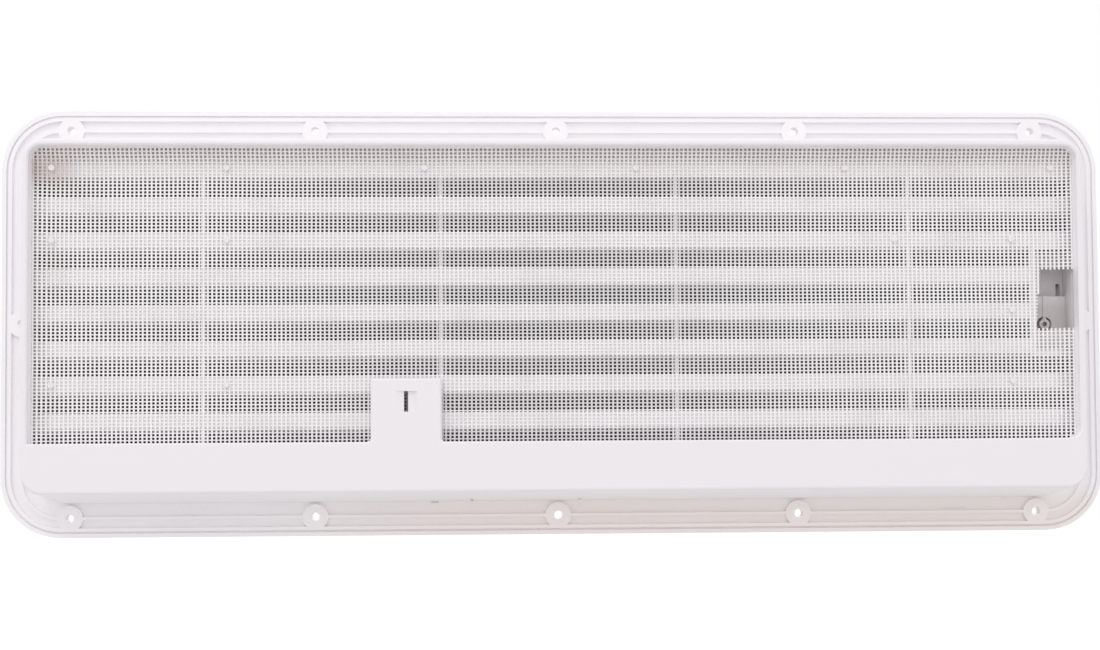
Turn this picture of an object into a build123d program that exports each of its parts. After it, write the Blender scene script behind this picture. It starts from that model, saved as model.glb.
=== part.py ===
from build123d import *
import os
from math import cos, radians, sin, tan

# Fridge vent grille for the outside wall of a caravan, in white plastic.
# X runs along the length and Z is up. The flange's rear rim, which meets the wall, lies at Y = 0.
# The slatted front faces -Y, and the collar stands into the wall cut-out towards +Y.

# Flange outline
length = 540.0
height = 208.0
corner_radius = 29.0
front_edge_radius = 2.2

# Flange section, measured forwards from the wall plane
flange_depth = 4.4
channel_depth = 1.5
groove_depth = 1.0

# Flange section, measured inwards from the outer edge
outer_lip = 2.0
groove_width = 1.0
inner_lip = 1.7
rib_width = 1.5

# Screw holes and their bosses
hole_inset = 9.4
hole_row_inset = 33.2
hole_diameter = 4.2
boss_diameter = 12.6

# Collar, measured at its rear edge, from which it widens forwards
collar_end_margin = 22.5
collar_side_margin = 22.0
collar_corner = 10.0
collar_depth = 34.0
collar_wall = 2.3
draft_angle = 8.8
rear_edge_radius = 1.6

# Rear rim of the collar: a narrow lip on three sides and a wide strip along the bottom, with a tab
# whose offset from the middle is a share of the collar's length
rim_thickness = 2.4
rim_lip = 3.0
rim_bead = 2.0
rim_bevel = 0.7
strip_height = 23.2
window_top_radius = 6.0
window_end_radius = 5.0
tab_offset = 0.144
tab_width = 32.7
tab_height = 29.2
tab_radius = 1.5

# Keeper pocket in the tab: a ramp that ends at a steep wall, with a slot through its floor
keeper_width = 10.6
keeper_height = 9.5
keeper_drop = 5.8
keeper_depth = 1.6
keeper_wall_run = 1.8
keeper_slot_width = 1.9

# Louvre panel, which nests in the collar from the front
panel_clearance = 0.3
panel_wall = 1.8
slat_count = 9
slat_top_margin = 8.96
slat_bottom_margin = 20.2
slat_thickness = 1.8
slat_band = 6.8
slat_bend = 3.0
slat_slope = 35.0
slat_front_setback = 1.5
slat_nose = 5.0
upright_count = 4
upright_thickness = 2.0
upright_depth = 18.0

# Stake pins that hold the net, on the slats counted from the top, at shares of the collar's length
pin_diameter = 2.9
pin_sides = 8
pin_rise = 0.8
pin_root = 0.6
pin_places = {
    0: (0.476, 0.313, 0.127, -0.074, -0.274, -0.473),
    2: (0.476, 0.313, -0.3215, -0.434),
    4: (-0.434,),
    6: (0.476, 0.313, -0.434),
}

# Latch pocket at one end of the panel: a slotted plate above a step, and a plate with a button below it.
# Places along X are measured from the collar's end.
pocket_wall = 2.4
pocket_length = 20.5
pocket_top = 31.5
pocket_bottom = -17.1
pocket_step = 10.0
pocket_plate = 2.0
pocket_upper_y = 12.0
pocket_lower_y = 16.0
latch_slot_place = 3.3
latch_slot_width = 2.1
latch_slot_height = 6.5
button_place = 12.1
button_z = -3.6
button_diameter = 5.0
button_sides = 16
button_rise = 0.8
moat_diameter = 7.4
pilot_diameter = 2.4
bridge_width = 1.2

# Insect screen: a sheet with ridges along the slats, open over the gaps between them.
# The opening cut in it has its places along X measured from the collar's end.
screen_recess = 6.0
screen_thickness = 0.5
strand_height = 0.3
strand_width = 1.0
strand_pitch = 3.3
strands_per_band = 2
screen_bar = 3.0
screen_gap = 0.3
screen_margin = 0.5
screen_bay_columns = 2
screen_end_columns = 2
pin_clearance = 0.2
cutout_top = 21.9
cutout_bottom = -7.7
cutout_end = 3.8
cutout_top_length = 14.8
cutout_bottom_length = 17.0

# Worked out from the sizes above
draft = tan(radians(draft_angle))
collar_length = length - 2 * collar_end_margin
collar_height = height - 2 * collar_side_margin
collar_end_x = -collar_length / 2
rim_front = collar_depth - rim_thickness
screen_rear = collar_depth - screen_recess
strand_root = screen_rear - strand_height
panel_rear = strand_root - screen_thickness
panel_depth = panel_rear + flange_depth
panel_inset = collar_wall + panel_clearance
window_length = collar_length - 2 * rim_lip
window_bottom = strip_height - collar_height / 2
window_top = collar_height / 2 - rim_lip
tab_x = tab_offset * collar_length
slat_pitch = (collar_height - slat_top_margin - slat_bottom_margin) / (slat_count - 1)
slat_first_top = collar_height / 2 - slat_top_margin
slat_tops = [slat_first_top - slat_pitch * k for k in range(slat_count)]
hood_top = slat_first_top + slat_pitch
upright_spacing = collar_length / (upright_count + 0.475)
upright_xs = [upright_spacing * (k - (upright_count - 1) / 2) for k in range(upright_count)]
hole_row_z = height / 2 - hole_inset
hole_end_x = length / 2 - hole_inset
hole_pitch = (length / 2 - hole_row_inset) / 2
row_xs = [hole_pitch * k for k in range(-2, 3)]
hole_places = [(x, side * hole_row_z) for side in (-1, 1) for x in row_xs]
hole_places += [(-hole_end_x, 0.0), (hole_end_x, 0.0)]
pin_points = [
    (share * collar_length, slat_tops[k] - slat_band / 2)
    for k, shares in pin_places.items()
    for share in shares
]
pocket_inner_x = collar_end_x + pocket_length
latch_slot_x = collar_end_x + latch_slot_place
button_x = collar_end_x + button_place
cutout_end_x = collar_end_x + cutout_end


def facing_front(y):
    """Sketch plane at depth y, with X across and Z up. An extrusion from it runs forwards, to -Y."""
    return Plane.XZ.offset(-y)


def flange_outline(inset, mode=Mode.ADD):
    """The flange's rounded outline, brought in by inset on every side."""
    RectangleRounded(length - 2 * inset, height - 2 * inset, corner_radius - inset, mode=mode)


def collar_outline(y, inset):
    """The drafted collar's outline at depth y, brought in by inset on every side."""
    grow = (collar_depth - y) * draft - inset
    RectangleRounded(collar_length + 2 * grow, collar_height + 2 * grow, collar_corner + grow)


# Frame: flange, bosses, collar and rear rim in one moulding
with BuildPart() as vent_frame:
    with BuildSketch(facing_front(0)):
        flange_outline(0)
    extrude(amount=flange_depth)
    front_rim = vent_frame.faces().sort_by(Axis.Y)[0].outer_wire().edges()
    fillet(front_rim, front_edge_radius)

    # The groove between the two lips, and the channels on both sides of the rib
    with BuildSketch(facing_front(0)):
        flange_outline(outer_lip)
        flange_outline(outer_lip + groove_width, mode=Mode.SUBTRACT)
    extrude(amount=groove_depth, mode=Mode.SUBTRACT)
    with BuildSketch(facing_front(0)):
        flange_outline(outer_lip + groove_width + inner_lip)
        flange_outline(hole_inset - rib_width / 2, mode=Mode.SUBTRACT)
        flange_outline(hole_inset + rib_width / 2)
    extrude(amount=channel_depth, mode=Mode.SUBTRACT)

    with BuildSketch(facing_front(0)):
        with Locations(*hole_places):
            Circle(boss_diameter / 2)
    extrude(amount=channel_depth)

    # The collar, hollow from the front up to its rear rim
    with BuildSketch(facing_front(collar_depth)):
        collar_outline(collar_depth, 0)
    extrude(amount=collar_depth + channel_depth, taper=-draft_angle)
    rear_rim = vent_frame.faces().sort_by(Axis.Y)[-1].outer_wire().edges()
    fillet(rear_rim, rear_edge_radius)
    with BuildSketch(facing_front(rim_front)):
        collar_outline(rim_front, collar_wall)
    extrude(amount=rim_front + flange_depth, taper=-draft_angle, mode=Mode.SUBTRACT)

    # The window in the rear rim, which leaves the strip and its tab
    with BuildSketch(facing_front(collar_depth)) as window:
        with Locations((0, (window_top + window_bottom) / 2)):
            Rectangle(window_length, window_top - window_bottom)
        fillet(window.vertices().group_by(Axis.Y)[-1], window_top_radius)
        fillet(window.vertices().group_by(Axis.Y)[0].sort_by(Axis.X)[0], window_end_radius)
        with Locations((tab_x, window_bottom)):
            Rectangle(tab_width, 2 * tab_height, mode=Mode.SUBTRACT)
        tab_corners = window.vertices().filter_by_position(
            Axis.X, tab_x - tab_width / 2 - tab_radius, tab_x + tab_width / 2 + tab_radius)
        fillet(tab_corners, tab_radius)
    extrude(amount=rim_thickness, mode=Mode.SUBTRACT)
    window_edges = vent_frame.faces().sort_by(Axis.Y)[-1].inner_wires()[0].edges()
    chamfer(window_edges, rim_bevel)

    # A bead behind the window's edge, which reaches down to just above the net
    with BuildSketch(facing_front(rim_front)):
        add(window.sketch_local)
        offset(amount=rim_bead)
        add(window.sketch_local, mode=Mode.SUBTRACT)
    extrude(amount=rim_front - screen_rear - screen_gap)

    # The keeper pocket, whose ramp falls away from the tab's outer side
    keeper_top = window_bottom + tab_height - keeper_drop
    keeper_left = tab_x - keeper_width / 2
    keeper_right = tab_x + keeper_width / 2
    with BuildSketch(Plane.XY.offset(keeper_top)):
        with BuildLine():
            Polyline(
                (keeper_right, collar_depth),
                (keeper_left + keeper_wall_run, collar_depth - keeper_depth),
                (keeper_left, collar_depth),
                close=True,
            )
        make_face()
    extrude(amount=-keeper_height, mode=Mode.SUBTRACT)
    with BuildSketch(facing_front(collar_depth)):
        with Locations((tab_x, keeper_top)):
            Rectangle(keeper_slot_width, keeper_height, align=(Align.CENTER, Align.MAX))
    extrude(amount=rim_thickness, mode=Mode.SUBTRACT)

    # Screw holes through the bosses
    with Locations(Plane.XZ.offset(flange_depth)):
        with Locations(*hole_places):
            Hole(hole_diameter / 2, depth=flange_depth)

# One slat in section: an upright rear band, a sloping blade and a short nose at the front,
# with a flat across each bend that takes half of the turn
slat_run = panel_depth - slat_front_setback
half_turn = radians((90 + slat_slope) / 2)
bend_run = slat_bend * cos(half_turn)
bend_fall = slat_bend * sin(half_turn)
blade_run = slat_run - 2 * bend_run
blade_start = slat_band + bend_fall
blade_end = blade_start + blade_run * tan(radians(slat_slope))
slat_front = panel_rear - slat_run
with BuildSketch(Plane.YZ) as slat_section:
    with BuildLine():
        Polyline(
            (panel_rear, 0),
            (panel_rear, -slat_band),
            (panel_rear - bend_run, -blade_start),
            (slat_front + bend_run, -blade_end),
            (slat_front, -blade_end - bend_fall),
            (slat_front, -blade_end - bend_fall - slat_nose),
        )
        offset(amount=slat_thickness, side=Side.RIGHT, kind=Kind.INTERSECTION)
    make_face()

# The panel's perimeter wall, drafted to follow the collar
with BuildPart() as panel_rim:
    with BuildSketch(facing_front(panel_rear)):
        collar_outline(panel_rear, panel_inset)
    extrude(amount=panel_depth, taper=-draft_angle)
    with BuildSketch(facing_front(panel_rear)):
        collar_outline(panel_rear, panel_inset + panel_wall)
    extrude(amount=panel_depth, taper=-draft_angle, mode=Mode.SUBTRACT)

# Louvre panel: slats, uprights, latch pocket and stake pins in one moulding
with BuildPart() as louvre_panel:
    # A hood blade above the first slat springs from the panel's top wall
    with BuildSketch(Plane.YZ.offset(-length / 2)):
        with Locations(*[(0, z) for z in [hood_top] + slat_tops]):
            add(slat_section.sketch_local)
    extrude(amount=length)

    # A flat head above the first slat's band, and the uprights between the slats
    with BuildSketch(facing_front(panel_rear)):
        with Locations((0, slat_first_top)):
            Rectangle(length, collar_side_margin, align=(Align.CENTER, Align.MIN))
    extrude(amount=slat_thickness)
    with BuildSketch(facing_front(panel_rear)):
        with Locations(*[(x, 0) for x in upright_xs]):
            Rectangle(upright_thickness, height)
    extrude(amount=upright_depth)

    # The pocket: a block that is hollowed from the rear to two depths
    pocket_side = pocket_inner_x + pocket_wall
    block_front = pocket_upper_y - pocket_plate
    lower_plate_front = pocket_lower_y - pocket_plate
    with BuildSketch(facing_front(panel_rear)):
        with Locations((pocket_side, pocket_bottom - pocket_wall)):
            Rectangle(
                length / 2 + pocket_side,
                pocket_top - pocket_bottom + 2 * pocket_wall,
                align=(Align.MAX, Align.MIN),
            )
    extrude(amount=panel_rear - block_front)
    with BuildSketch(facing_front(panel_rear)):
        with Locations((pocket_inner_x, pocket_step)):
            Rectangle(length / 2 + pocket_inner_x, pocket_top - pocket_step, align=(Align.MAX, Align.MIN))
    extrude(amount=panel_rear - pocket_upper_y, mode=Mode.SUBTRACT)
    with BuildSketch(facing_front(panel_rear)):
        with Locations((pocket_inner_x, pocket_bottom)):
            Rectangle(length / 2 + pocket_inner_x, pocket_step - pocket_bottom, align=(Align.MAX, Align.MIN))
    extrude(amount=panel_rear - pocket_lower_y, mode=Mode.SUBTRACT)
    with BuildSketch(facing_front(lower_plate_front)):
        with Locations((pocket_inner_x, pocket_bottom)):
            Rectangle(
                length / 2 + pocket_inner_x,
                pocket_step - pocket_plate - pocket_bottom,
                align=(Align.MAX, Align.MIN),
            )
    extrude(amount=lower_plate_front - block_front, mode=Mode.SUBTRACT)

    # Trim everything to the panel's outline, then close it with the perimeter wall
    with BuildSketch(facing_front(panel_rear)):
        collar_outline(panel_rear, panel_inset + panel_wall / 2)
    extrude(amount=panel_depth, taper=-draft_angle, mode=Mode.INTERSECT)
    add(panel_rim.part)

    # Slot in the upper plate, and the button that hangs from its bridge in the lower plate
    with BuildSketch(facing_front(pocket_upper_y)):
        with Locations((latch_slot_x, pocket_step)):
            Rectangle(latch_slot_width, latch_slot_height, align=(Align.CENTER, Align.MIN))
    extrude(amount=pocket_plate, mode=Mode.SUBTRACT)
    with BuildSketch(facing_front(pocket_lower_y)):
        with Locations((button_x, button_z)):
            RegularPolygon(moat_diameter / 2, button_sides)
            RegularPolygon(button_diameter / 2, button_sides, mode=Mode.SUBTRACT)
            Rectangle(bridge_width, moat_diameter, align=(Align.CENTER, Align.MIN), mode=Mode.SUBTRACT)
    extrude(amount=pocket_plate, mode=Mode.SUBTRACT)
    with BuildSketch(facing_front(pocket_lower_y + button_rise)):
        with Locations((button_x, button_z)):
            RegularPolygon(button_diameter / 2, button_sides)
            Rectangle(bridge_width, pocket_step - button_z, align=(Align.CENTER, Align.MIN))
    extrude(amount=button_rise)
    with BuildSketch(facing_front(pocket_lower_y + button_rise)):
        with Locations((button_x, button_z)):
            RegularPolygon(pilot_diameter / 2, button_sides)
    extrude(amount=button_rise + pocket_plate, mode=Mode.SUBTRACT)

    # Stake pins through the screen, melted to a many-sided head on its rear side
    with BuildSketch(facing_front(screen_rear + pin_rise)):
        with Locations(*pin_points):
            RegularPolygon(pin_diameter / 2, pin_sides)
    extrude(amount=screen_rear + pin_rise - panel_rear + pin_root)


def even_spans(start, end, count):
    """The edges of count equal spans from start to end."""
    step = (end - start) / count
    return [(start + step * k, start + step * (k + 1)) for k in range(count)]


# The screen's columns fall between the uprights, and its rows between the slats' bands
bays = list(zip(upright_xs[:-1], upright_xs[1:]))
columns = [span for bay in bays for span in even_spans(*bay, screen_bay_columns)]
columns += even_spans(upright_xs[-1], window_length / 2, screen_end_columns)
columns += even_spans(-window_length / 2, upright_xs[0], screen_end_columns)
rows = [(low, high - slat_band) for high, low in zip(slat_tops[:-1], slat_tops[1:])]

# Insect screen: sheet, ridges on the bands, gaps, pin holes and the hand-cut opening over the latch
with BuildPart() as insect_screen:
    with BuildSketch(facing_front(strand_root)):
        collar_outline(panel_rear, panel_inset)
    extrude(amount=screen_thickness)
    with BuildSketch(facing_front(screen_rear)):
        for top in slat_tops:
            with Locations((0, top - slat_band / 2)):
                with GridLocations(0, strand_pitch, 1, strands_per_band):
                    Rectangle(window_length, strand_width)
    extrude(amount=strand_height)
    with BuildSketch(facing_front(screen_rear)):
        for low, high in rows:
            for start, end in columns:
                with Locations(((start + end) / 2, (low + high) / 2)):
                    Rectangle(end - start - screen_bar, high - low - 2 * screen_margin)
        with Locations(*pin_points):
            Rectangle(pin_diameter + 2 * pin_clearance, pin_diameter + 2 * pin_clearance)
        with BuildLine():
            Polyline(
                (cutout_end_x, cutout_top),
                (cutout_end_x + cutout_top_length, cutout_top),
                (cutout_end_x + cutout_bottom_length, cutout_bottom),
                (cutout_end_x, cutout_bottom),
                close=True,
            )
        make_face()
    extrude(amount=screen_thickness + strand_height, mode=Mode.SUBTRACT)

vent_frame.part.label = "vent_frame"
louvre_panel.part.label = "louvre_panel"
insect_screen.part.label = "insect_screen"

os.makedirs("parts", exist_ok=True)
export_step(vent_frame.part, "parts/vent_frame.step")
export_step(louvre_panel.part, "parts/louvre_panel.step")
export_step(insect_screen.part, "parts/insect_screen.step")
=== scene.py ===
# %% [markdown]
# A louvred fridge vent for a caravan wall, seen from the rear: the side that goes into the wall.
# The frame and the slatted panel are plastic mouldings, so their solids come from the CAD model and
# only need a finish. The insect net behind the slats is too fine for that model, so it is made here.

# %% The CAD frame
import math

import bpy
from mathutils import Matrix, Vector


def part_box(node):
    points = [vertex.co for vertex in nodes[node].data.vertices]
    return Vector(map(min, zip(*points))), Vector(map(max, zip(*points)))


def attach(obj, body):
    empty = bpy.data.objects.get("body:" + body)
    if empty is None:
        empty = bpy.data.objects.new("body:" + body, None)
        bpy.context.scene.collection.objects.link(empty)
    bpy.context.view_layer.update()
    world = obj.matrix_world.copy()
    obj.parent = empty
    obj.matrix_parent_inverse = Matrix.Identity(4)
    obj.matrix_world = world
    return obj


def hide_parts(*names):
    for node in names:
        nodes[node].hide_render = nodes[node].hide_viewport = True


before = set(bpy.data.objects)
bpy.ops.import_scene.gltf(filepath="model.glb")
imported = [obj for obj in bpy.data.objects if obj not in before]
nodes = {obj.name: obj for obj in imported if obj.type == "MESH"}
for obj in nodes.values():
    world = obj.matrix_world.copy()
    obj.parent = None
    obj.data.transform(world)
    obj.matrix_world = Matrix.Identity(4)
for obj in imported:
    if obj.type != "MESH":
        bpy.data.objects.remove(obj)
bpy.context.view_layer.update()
scene = bpy.context.scene

# %% [markdown]
# A finish is made of masks: numbers that say where a film lies. Their Math nodes could be added and
# linked one by one, but a sum is easier to read as Python. So a Socket wraps one output of a node: adding
# or multiplying two of them adds a Math node to the tree, and Socket.node makes any other node.

# %% A small language for shader maths
class Socket:
    """One output socket in a node tree, with arithmetic that adds Math nodes."""

    def __init__(self, tree, output):
        self.tree = tree
        self.output = output

    def node(self, kind, settings=None, out=0, **links):
        """Adds a node: settings first, then a value or Socket for each named input."""
        made = self.tree.nodes.new(kind)
        for name, value in (settings or {}).items():
            setattr(made, name, value)
        for name, value in links.items():
            key = int(name[1:]) if name[0] == "i" and name[1:].isdigit() else name.replace("_", " ")
            target = made.inputs[key]
            if isinstance(value, Socket):
                self.tree.links.new(value.output, target)
            else:
                target.default_value = value
        return Socket(self.tree, made.outputs[out])

    def math(self, operation, other=0.0, third=0.0):
        return self.node("ShaderNodeMath", {"operation": operation}, i0=self, i1=other, i2=third)

    def __add__(self, other):
        return self.math("ADD", other)

    __radd__ = __add__

    def __mul__(self, other):
        return self.math("MULTIPLY", other)

    __rmul__ = __mul__

    def __sub__(self, other):
        return self.math("SUBTRACT", other)

    def __rsub__(self, other):
        return self.node("ShaderNodeMath", {"operation": "SUBTRACT"}, i0=other, i1=self)

    def __truediv__(self, other):
        return self.math("DIVIDE", other)

    def __rtruediv__(self, other):
        return self.node("ShaderNodeMath", {"operation": "DIVIDE"}, i0=other, i1=self)

    def smooth(self, low, high):
        """0 below low, 1 above high and a soft step between."""
        return self.node("ShaderNodeMapRange", {"interpolation_type": "SMOOTHSTEP"},
                         Value=self, From_Min=low, From_Max=high)

    def between(self, low, high, soft):
        """1 from low to high, with a soft edge on both sides."""
        return self.smooth(low - soft, low + soft) * (1 - self.smooth(high - soft, high + soft))

    def mix(self, first, second):
        """A colour between first and second, with this value as the factor."""
        return self.node("ShaderNodeMix", {"data_type": "RGBA"}, 2, i0=self, i6=first, i7=second)

    def split(self):
        """The X, Y and Z values of a vector."""
        parts = self.node("ShaderNodeSeparateXYZ", i0=self).output.node.outputs
        return [Socket(self.tree, part) for part in parts]


print("shader maths ready")

# %% [markdown]
# White moulded plastic is never one flat colour. It has a faint cloudiness, a satin skin that is a
# little rougher in patches, and a film of dust that stays where nobody wipes. A painted picture could
# show that, but noise on Object coordinates needs no unwrapping and has its real size, in millimetres.

# %% White plastic
MILLIMETRE = 0.001


def new_material(name):
    """A material, its Principled shader, and its Object coordinates in millimetres."""
    material = bpy.data.materials.new(name)
    material.use_nodes = True
    tree = material.node_tree
    shader = tree.nodes["Principled BSDF"]
    start = Socket(tree, tree.nodes.new("ShaderNodeTexCoord").outputs["Object"])
    place = start.node("ShaderNodeVectorMath", {"operation": "SCALE"}, i0=start, Scale=1 / MILLIMETRE)
    return material, shader, place


def feed(socket, shader, name):
    """Links a Socket to a shader's input."""
    socket.tree.links.new(socket.output, shader.inputs[name])


def white_plastic(name, clean, dusty, roughness):
    """Satin white moulding with faint clouds, skin texture and dust. Returns what a caller can add to."""
    material, shader, place = new_material(name)
    clouds = place.node("ShaderNodeTexNoise", Vector=place, Scale=0.02, Detail=4.0)
    fine = place.node("ShaderNodeTexNoise", Vector=place, Scale=1.6, Detail=3.0)
    dust = clouds.smooth(0.42, 0.72) * fine.smooth(0.35, 0.75)
    colour = (dust * 0.3).mix(clean, dusty)
    skin = fine.node("ShaderNodeBump", Height=fine, Strength=0.06, Distance=0.00008)
    feed(skin, shader, "Normal")
    feed(clouds.smooth(0.3, 0.7) * 0.1 + roughness, shader, "Roughness")
    return material, shader, place, colour


print("white plastic ready")

# %% [markdown]
# The frame's rear side carries a warm painted shade low down in the channel under the collar, where the
# collar keeps light off it. The painted shade fades towards the end with no latch, and it is thinner on the
# collar's wall than on the flange. The collar's rear rim is a slightly duller white. All this could be
# painted on the mesh by hand. Masks on the place of a point were chosen, because they are easy to change
# and keep the painted shade off the clean front of the flange.

# %% Frame plastic
def srgb(*levels):
    """A colour as it reads in the picture, 0 to 255, in the renderer's linear values."""
    linear = [v / 255 / 12.92 if v <= 10 else ((v / 255 + 0.055) / 1.055) ** 2.4 for v in levels]
    return (*linear, 1.0)


def dirt_and_shade(colour, mask, strength, film):
    """The colour under a film that lies where mask is 1: real dirt in some places, painted shade in others.
    """
    return (mask * strength).mix(colour, film)


frame_plastic, frame_shader, frame_place, frame_colour = white_plastic(
    "frame_plastic", clean=srgb(249, 246, 249), dusty=srgb(232, 227, 226), roughness=0.36)
frame_x, frame_y, frame_z = frame_place.split()
rear_side = frame_y.smooth(-3.6, -2.6)
under_collar = 1 - frame_z.smooth(-92.0, -80.0)
off_strip = 1 - frame_y.smooth(26.0, 33.0)
off_plain_end = 1 - frame_x.smooth(20.0, 180.0) * 0.9
thin_on_wall = 1 - frame_y.smooth(2.0, 8.0) * 0.5
# Painted shade: a warm, darker colour low under the collar, for the shade the collar casts.
painted_low_shade = rear_side * under_collar * off_strip * off_plain_end * thin_on_wall
frame_colour = dirt_and_shade(frame_colour, painted_low_shade, 0.75, srgb(245, 236, 232))
rear_rim = frame_y.smooth(31.0, 33.5)
frame_colour = rear_rim.mix(frame_colour, srgb(242, 237, 241))
print("film and rim colours mixed")

# %% [markdown]
# Four blemishes lie beside the collar's foot: a dark rubbed mark, a dot near it, a paler fleck further
# along, and a short scratch towards the latch end. Each could be a small picture on the frame, but they
# are so small that a soft-edged box of darker colour is enough.

# %% Blemishes on the frame
BLEMISHES = (  # x, z, half length, half height and soft edge in millimetres, then strength and colour
    (60.4, -87.9, 1.9, 0.25, 0.5, 0.75, srgb(150, 142, 142)),
    (42.1, -86.9, 0.6, 0.5, 0.45, 0.8, srgb(150, 141, 141)),
    (-10.2, -86.8, 0.9, 0.4, 0.5, 0.5, srgb(165, 156, 156)),
    (-196.5, -92.6, 5.5, 0.12, 0.3, 0.45, srgb(196, 188, 188)),
)


def cover(node_name, material):
    """Gives a CAD node its finish."""
    for slot in nodes[node_name].material_slots:
        slot.material = material
    print(material.name, "on", len(nodes[node_name].data.polygons), "faces of", node_name)


near_flange = 1 - frame_y.smooth(6.0, 9.0)
for x, z, half_length, half_height, soft, strength, shade in BLEMISHES:
    wide = frame_x.between(x - half_length, x + half_length, soft)
    high = frame_z.between(z - half_height, z + half_height, soft)
    frame_colour = dirt_and_shade(frame_colour, wide * high * rear_side * near_flange, strength, shade)
feed(frame_colour, frame_shader, "Base Color")
cover("vent_frame", frame_plastic)

# %% [markdown]
# The slatted panel is the same plastic. The undersides of its slats carry painted shade, a dark grey that
# turns brown near the ends, for the shade deep in the gaps. A second material on chosen faces would end in
# a hard line, so the direction that a face points in, from the Geometry node, picks the undersides out
# instead.

# %% Panel plastic and the undersides of the slats
panel_plastic, panel_shader, panel_place, panel_colour = white_plastic(
    "panel_plastic", clean=srgb(240, 235, 238), dusty=srgb(222, 215, 213), roughness=0.42)
panel_x, panel_y, panel_z = panel_place.split()
panel_tree = panel_plastic.node_tree
facing = Socket(panel_tree, panel_tree.nodes.new("ShaderNodeNewGeometry").outputs["Normal"])
_, facing_y, facing_z = facing.split()
points_down = 1 - facing_z.smooth(-0.44, -0.2)
behind_nose = panel_y.smooth(2.0, 9.0)
before_band = 1 - panel_y.smooth(24.8, 27.4)
# Painted shade on the slats' undersides: dark grey, browner near the ends.
painted_underside_shade = panel_x.math("ABSOLUTE").smooth(190.0, 240.0).mix(srgb(66, 63, 62), srgb(98, 80, 72))
panel_colour = dirt_and_shade(panel_colour, points_down * behind_nose * before_band, 0.95, painted_underside_shade)
print("grime on the undersides mixed")

# %% [markdown]
# The upright bands along the slats' rear edge carry a light painted shade, for the shade in the net's
# holes, and the topmost one a browner painted shade, under the rim. The latch pocket carries painted shade
# too, more on its lower plate than on its upper one. The bands are found by the way they face and by their
# depth, because that fits all of them with one mask.

# %% Painted shade on the bands and in the latch pocket
at_band = panel_y.smooth(26.5, 27.1)
off_pins = 1 - panel_y.smooth(27.3, 27.6)
# Painted shade on the bands' rear faces, for the shade in the holes of the net over them.
band = facing_y.smooth(0.8, 0.95) * at_band * off_pins
panel_colour = dirt_and_shade(panel_colour, band, 0.35, srgb(205, 199, 198))
# Browner painted shade on the topmost band, under the rim.
top_band = band * panel_z.between(73.4, 76.6, 0.8)
panel_colour = dirt_and_shade(panel_colour, top_band, 0.3, srgb(198, 185, 179))
# Painted shade in the latch pocket, stronger on its lower plate than on its upper one.
pocket = (1 - panel_x.smooth(-228.0, -224.0)) * panel_z.between(-18.0, 32.0, 1.0)
pocket = pocket * panel_y.smooth(10.4, 11.6) * (1 - panel_y.smooth(18.0, 25.0))
pocket_shade_strength = 0.45 - panel_z.smooth(4.0, 8.0) * 0.3
panel_colour = dirt_and_shade(panel_colour, pocket, pocket_shade_strength, srgb(186, 180, 174))
feed(panel_colour, panel_shader, "Base Color")
cover("louvre_panel", panel_plastic)

# %% [markdown]
# The net's coating is a clean white with dirt in clouds. Its strands over the gaps between the slats' bands
# are greyer with painted shade, most of all in the middle of the vent. Each gap could have a mask of its
# own, but wrapping the height at the slats' pitch repeats one mask down the net. The top is a little
# browner, and one corner is dirty.

# %% Net material
SLAT_PITCH = 16.855
FIRST_BAND_TOP = 73.04
net_coating, net_shader, net_place = new_material("net_coating")
net_clouds = net_place.node("ShaderNodeTexNoise", Vector=net_place, Scale=0.05, Detail=3.0)
net_fine = net_place.node("ShaderNodeTexNoise", Vector=net_place, Scale=2.5, Detail=2.0)
net_grime = net_clouds.smooth(0.45, 0.75) * net_fine.smooth(0.3, 0.7)
net_x, _, net_z = net_place.split()
net_colour = (net_grime * 0.5).mix(srgb(248, 245, 247), srgb(222, 216, 214))
net_colour = dirt_and_shade(net_colour, net_z.smooth(66.0, 76.0), 0.4, srgb(242, 229, 224))
# Painted shade on the strands over the gaps between the bands, strongest in the middle.
below_band_top = (FIRST_BAND_TOP - net_z).math("WRAP", SLAT_PITCH, 0.0)
painted_gap_shade = below_band_top.between(7.8, 16.1, 0.7) * (1 - net_z.smooth(72.0, 73.0))
gap_shade_strength = 0.42 - net_x.math("ABSOLUTE").smooth(40.0, 170.0) * 0.42
net_colour = dirt_and_shade(net_colour, painted_gap_shade, gap_shade_strength, srgb(186, 182, 185))
corner_dirt = net_x.between(227.0, 250.0, 8.0) * net_z.between(62.0, 74.0, 6.0)
net_colour = dirt_and_shade(net_colour, corner_dirt, 0.6, srgb(198, 178, 168))
feed(net_colour, net_shader, "Base Color")
feed(net_fine * 0.15 + 0.42, net_shader, "Roughness")
print("net coating ready")

# %% [markdown]
# The insect net is made of coated strands that are fused where they cross, about two millimetres apart
# along the vent and a little less up it. A picture with holes would look flat from the side, and making
# each strand by hand would take hundreds of objects, so a Geometry Nodes tree does it. Its sizes are
# named inputs, in metres, so that one tree makes both sets of strands.

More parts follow.
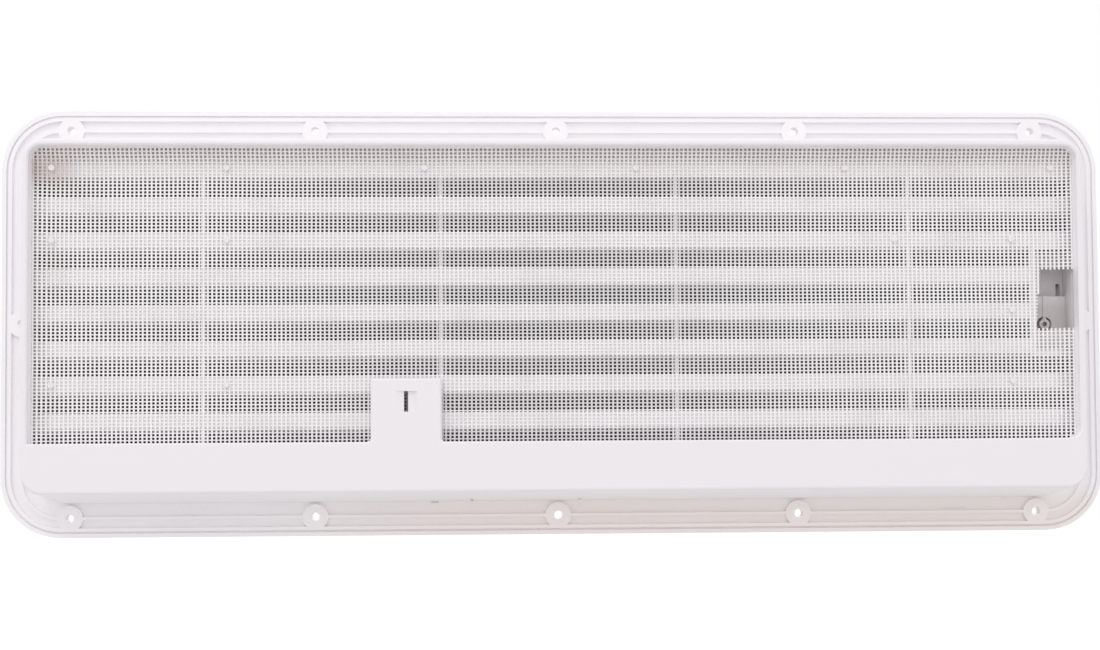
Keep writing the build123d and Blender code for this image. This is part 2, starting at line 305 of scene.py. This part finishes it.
# %% Net sizes and the tree's inputs
net_low, net_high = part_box("insect_screen")
STRAND_LIFT = 0.0002
NET_SIZES = {
    "Length": net_high[0] - net_low[0], "Height": net_high[2] - net_low[2], "Columns": 246, "Rows": 99,
    "Depth": net_low[1] + STRAND_LIFT, "Flatness": 0.4, "Wander": 0.0006, "Seed": 3.0,
    "Cut End": -0.2480, "Cut Inner Top": -0.2289, "Cut Inner Bottom": -0.2267,
    "Rim End": 0.2445, "Rim Top": 0.0790, "Top Curl": 0.0018, "End Curl": 0.001, "Curl Reach": 0.009,
    "Material": net_coating,
}
INPUT_KINDS = {
    "Length": "Float", "Height": "Float", "Columns": "Int", "Rows": "Int", "Depth": "Float",
    "Strand Width": "Float", "Flatness": "Float", "Wander": "Float", "Seed": "Float", "Along": "Bool",
    "Cut Top": "Float", "Cut Bottom": "Float", "Cut End": "Float",
    "Cut Inner Top": "Float", "Cut Inner Bottom": "Float", "Rim End": "Float", "Rim Top": "Float",
    "Top Curl": "Float", "End Curl": "Float", "Curl Reach": "Float", "Pull Back": "Float",
    "Material": "Material",
}
net_tree = bpy.data.node_groups.new("net_strands", "GeometryNodeTree")
net_tree.interface.new_socket("Geometry", in_out="OUTPUT", socket_type="NodeSocketGeometry")
net_ids = {}
for label, kind in INPUT_KINDS.items():
    made = net_tree.interface.new_socket(label, in_out="INPUT", socket_type="NodeSocket" + kind)
    net_ids[label] = made.identifier
source = net_tree.nodes.new("NodeGroupInput")
given = {s.name: Socket(net_tree, s) for s in source.outputs if s.name}
base = given["Length"]  # any Socket of the tree can add nodes to it
print("net tree takes", len(net_ids), "inputs")

# %% [markdown]
# A grid of points gives every crossing of the strands. Straight rods in two arrays would look too even,
# because a real net wanders a little, so slow noise with a fixed seed moves the points.

# %% Lay out the crossings
GRID_INPUTS = {"Size X": "Length", "Size Y": "Height", "Vertices X": "Columns", "Vertices Y": "Rows"}
grid = net_tree.nodes.new("GeometryNodeMeshGrid")
for socket_name, label in GRID_INPUTS.items():
    net_tree.links.new(given[label].output, grid.inputs[socket_name])


def position():
    """The place of a point, read wherever the result is used."""
    return Socket(net_tree, net_tree.nodes.new("GeometryNodeInputPosition").outputs[0])


where = position()
flat_x, flat_z, _ = where.split()
drift = where.node("ShaderNodeTexNoise", {"noise_dimensions": "4D"}, 1, Vector=where, W=given["Seed"],
                   Scale=12.0, Detail=1.0)
drift_x, drift_z, _ = drift.split()
placed = base.node(
    "ShaderNodeCombineXYZ",
    X=flat_x + (drift_x - 0.5) * given["Wander"],
    Y=given["Depth"],
    Z=flat_z + (drift_z - 0.5) * given["Wander"])
mesh = base.node("GeometryNodeSetPosition", Geometry=Socket(net_tree, grid.outputs[0]), Position=placed)
print("net grid placed")

# %% [markdown]
# A window was cut in the net by hand, over the latch pocket, and its inner side slants. A Boolean cut is
# slow on so many strands, so the points inside the window are deleted before any strand is swept. The
# strands along the vent keep their nearest point there, pulled back to the slanted side, so that they
# end on it. The upright ones are left a little long at the top and bottom.

# %% Cut the window
at = position()
at_x, _, at_z = at.split()
rise = (at_z - given["Cut Bottom"]) / (given["Cut Top"] - given["Cut Bottom"])
inner = given["Cut Inner Bottom"] + rise * (given["Cut Inner Top"] - given["Cut Inner Bottom"])


def every(*tests):
    """1 where every test is over zero."""
    result = tests[0].math("GREATER_THAN", 0.0)
    for test in tests[1:]:
        result = result * test.math("GREATER_THAN", 0.0)
    return result


opening = every(rise, 1 - rise, at_x - given["Cut End"], inner - given["Pull Back"] - at_x)
mesh = base.node("GeometryNodeDeleteGeometry", {"domain": "POINT"}, Geometry=mesh, Selection=opening)
on_cut = base.node("ShaderNodeCombineXYZ", X=at_x.math("MAXIMUM", inner), Y=given["Depth"], Z=at_z)
mesh = base.node("GeometryNodeSetPosition", Geometry=mesh, Selection=every(rise, 1 - rise), Position=on_cut)
print("window cut")

# %% [markdown]
# Keeping only the grid's edges that run one way leaves the paths of one set of strands. A small square is
# swept along them, because a round section would need many more triangles and would look no better at
# half a millimetre.

# %% Sweep the strands
ends = net_tree.nodes.new("GeometryNodeInputMeshEdgeVertices")
start, stop = (Socket(net_tree, ends.outputs[label]) for label in ("Position 1", "Position 2"))
span = at.node("ShaderNodeVectorMath", {"operation": "SUBTRACT"}, i0=stop, i1=start)
span_x, _, span_z = span.split()
runs_along = span_x.math("ABSOLUTE").math("GREATER_THAN", span_z.math("ABSOLUTE"))
other_way = (runs_along - given["Along"]).math("ABSOLUTE")
mesh = base.node("GeometryNodeDeleteGeometry", {"domain": "EDGE", "mode": "EDGE_FACE"},
                 Geometry=mesh, Selection=other_way)
paths = base.node("GeometryNodeMeshToCurve", Mesh=mesh)
section = base.node("GeometryNodeCurvePrimitiveQuadrilateral", {"mode": "RECTANGLE"},
                    Width=given["Strand Width"], Height=given["Strand Width"])
strands = base.node("GeometryNodeCurveToMesh", Curve=paths, Profile_Curve=section, Fill_Caps=True)
print("strands swept")

# %% [markdown]
# The net is thin, so the strands are pressed flat about its depth. Its edges lift a little off the bands
# where they go under the rim, at the top and at both ends. A flat section and a bent grid could give the
# same, but moving the finished points does both in one step.

# %% Press the strands flat and lift the edges
skin_x, skin_y, skin_z = position().split()
at_end = skin_x.math("ABSOLUTE").smooth(given["Rim End"] - given["Curl Reach"], given["Rim End"])
at_top = skin_z.smooth(given["Rim Top"] - given["Curl Reach"], given["Rim Top"])
curl = (at_end * given["End Curl"]).math("MAXIMUM", at_top * given["Top Curl"])
thickness = (skin_y - given["Depth"]) * given["Flatness"]
pressed = base.node("ShaderNodeCombineXYZ", X=skin_x, Y=given["Depth"] + thickness + curl, Z=skin_z)
strands = base.node("GeometryNodeSetPosition", Geometry=strands, Position=pressed)
strands = base.node("GeometryNodeRealizeInstances", Geometry=strands)
strands = base.node("GeometryNodeSetMaterial", Geometry=strands, Material=given["Material"])
sink = net_tree.nodes.new("NodeGroupOutput")
net_tree.links.new(strands.output, sink.inputs[0])
print("net tree has", len(net_tree.nodes), "nodes")

# %% [markdown]
# The tree runs once for the strands along the vent and once for the upright ones, which are wider. One
# mesh could hold both sets, but two keep each piece's file small. Each result becomes a plain mesh for
# the export, and flat shading keeps the strands crisp.

# %% Net strands
CUT_TOP = 0.0219
CUT_BOTTOM = -0.0077


def strand_set(name, along, width, tooth, pull_back):
    """One set of strands as a plain mesh. Tooth is how long it is left at the cut's top and bottom."""
    holder = bpy.data.objects.new(name + "_source", bpy.data.meshes.new(name + "_source"))
    scene.collection.objects.link(holder)
    modifier = holder.modifiers.new("strands", "NODES")
    modifier.node_group = net_tree
    values = {
        **NET_SIZES, "Along": along, "Strand Width": width, "Pull Back": pull_back,
        "Cut Top": CUT_TOP - tooth, "Cut Bottom": CUT_BOTTOM + tooth,
    }
    for label, value in values.items():
        modifier[net_ids[label]] = value
    depsgraph = bpy.context.evaluated_depsgraph_get()
    made = bpy.data.meshes.new_from_object(holder.evaluated_get(depsgraph), depsgraph=depsgraph)
    holder.modifiers.remove(modifier)
    bpy.data.objects.remove(holder)
    made.name = name
    made.shade_flat()
    piece = bpy.data.objects.new(name, made)
    scene.collection.objects.link(piece)
    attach(piece, "root")
    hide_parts("insect_screen")
    made.calc_loop_triangles()
    print(name, len(made.loop_triangles), "triangles")


strand_set("net_weft", along=True, width=0.00056, tooth=0.0, pull_back=0.0021)
strand_set("net_warp", along=False, width=0.00082, tooth=0.0013, pull_back=0.0)

# %% [markdown]
# The surroundings are a plain white studio. The floor lies well below, because the vent hangs on a wall.
# Strong lamps would make it white, but they would burn out the white plastic too, so the floor glows
# instead, and only for the camera.

# %% Floor
FLOOR_REACH = 6.0
FLOOR_Z = -0.45
FLOOR_CORNERS = ((-1, -1), (1, -1), (1, 1), (-1, 1))
FLOOR_GREY = (0.8, 0.8, 0.8, 1.0)
FLOOR_GLOW = (0.45, 0.45, 0.45, 1.0)
BLACK = (0.0, 0.0, 0.0, 1.0)
floor_mesh = bpy.data.meshes.new("floor")
corners = [(x * FLOOR_REACH, y * FLOOR_REACH, FLOOR_Z) for x, y in FLOOR_CORNERS]
floor_mesh.from_pydata(corners, [], [(0, 1, 2, 3)])
floor = bpy.data.objects.new("floor", floor_mesh)
scene.collection.objects.link(floor)
floor_paint, floor_shader, _ = new_material("floor_paint")
floor_shader.inputs["Base Color"].default_value = FLOOR_GREY
floor_shader.inputs["Roughness"].default_value = 0.9
floor_tree = floor_paint.node_tree
floor_ray = Socket(floor_tree, floor_tree.nodes.new("ShaderNodeLightPath").outputs["Is Camera Ray"])
feed(floor_ray.mix(BLACK, FLOOR_GLOW), floor_shader, "Emission Color")
floor_shader.inputs["Emission Strength"].default_value = 1.0
floor_mesh.materials.append(floor_paint)
print("floor at", FLOOR_Z, "m")

# %% [markdown]
# The world lights the object softly, more from the rear than from the front. A white world would be too
# bright for that, so the Light Path node shows white only to the camera and in reflections and glass.

# %% World
FRONT_LEVEL = 0.64
REAR_EXTRA = 0.33
WHITE = (1.0, 1.0, 1.0, 1.0)
world = bpy.data.worlds.new("studio")
scene.world = world
world.use_nodes = True
sky = world.node_tree
backdrop = sky.nodes["Background"]
ray = sky.nodes.new("ShaderNodeLightPath")
camera_ray, glossy_ray, glass_ray = (
    Socket(sky, ray.outputs[f"Is {kind} Ray"]) for kind in ("Camera", "Glossy", "Transmission"))
seen = camera_ray.math("MAXIMUM", glossy_ray).math("MAXIMUM", glass_ray)
direction = Socket(sky, sky.nodes.new("ShaderNodeTexCoord").outputs["Generated"])
_, toward_y, _ = direction.split()
ambient = FRONT_LEVEL + toward_y.smooth(-0.6, 0.3) * REAR_EXTRA
ambient_grey = ambient.node("ShaderNodeCombineColor", Red=ambient, Green=ambient, Blue=ambient)
feed(seen.mix(ambient_grey, WHITE), backdrop, "Color")
backdrop.inputs["Strength"].default_value = 1.0
print("world ready")

# %% [markdown]
# Two weak lamps give the shapes some shading: one high on the rear side, at the left of the picture, and
# one on the front side for the slats. They are broad, because small ones would draw hard shadows.

# %% Lamps
def lamp(name, place, side, power):
    """A square area lamp at place, turned to the middle of the vent."""
    data = bpy.data.lights.new(name, "AREA")
    data.shape = "RECTANGLE"
    data.size = side
    data.size_y = side
    data.energy = power
    made = bpy.data.objects.new(name, data)
    scene.collection.objects.link(made)
    made.location = place
    made.rotation_mode = "QUATERNION"
    made.rotation_quaternion = (-Vector(place)).to_track_quat("-Z", "Y")


lamp("key", (0.55, 0.95, 1.5), side=1.0, power=6.0)
lamp("front_fill", (-0.8, -1.6, 0.9), side=1.6, power=8.0)

# %% [markdown]
# The camera stands behind the vent, a little below and to one side of its middle. Tilting it up to the
# middle would make the uprights lean together, so its sensor is shifted up instead.

# %% Camera
PHOTO_WIDTH = 1100
FOCAL_PIXELS = 1223.7
SHIFT_PIXELS = 100
SENSOR_WIDTH = 36.0
YAW, PITCH, ROLL = (math.radians(a) for a in (1.66, -1.60, 0.38))
camera_data = bpy.data.cameras.new("camera")
camera_data.sensor_fit = "HORIZONTAL"
camera_data.sensor_width = SENSOR_WIDTH
camera_data.lens = SENSOR_WIDTH * FOCAL_PIXELS / PHOTO_WIDTH
camera_data.shift_y = SHIFT_PIXELS / PHOTO_WIDTH
camera_data.clip_start = 0.01
camera = bpy.data.objects.new("camera", camera_data)
scene.collection.objects.link(camera)
scene.camera = camera
turn = Matrix.Rotation(ROLL, 3, "Z") @ Matrix.Rotation(PITCH, 3, "X") @ Matrix.Rotation(YAW, 3, "Y")
to_part = Matrix(((-1, 0, 0), (0, 0, 1), (0, 1, 0)))
camera.matrix_world = (to_part @ turn.transposed()).to_4x4()
camera.location = (0.0212, 0.600, -0.0673)
print("lens", round(camera_data.lens, 2), "mm")

# %% [markdown]
# The colours are written as they read in the picture, so the view transform is Standard: any other would
# bend them.

# %% Picture settings
scene.view_settings.view_transform = "Standard"
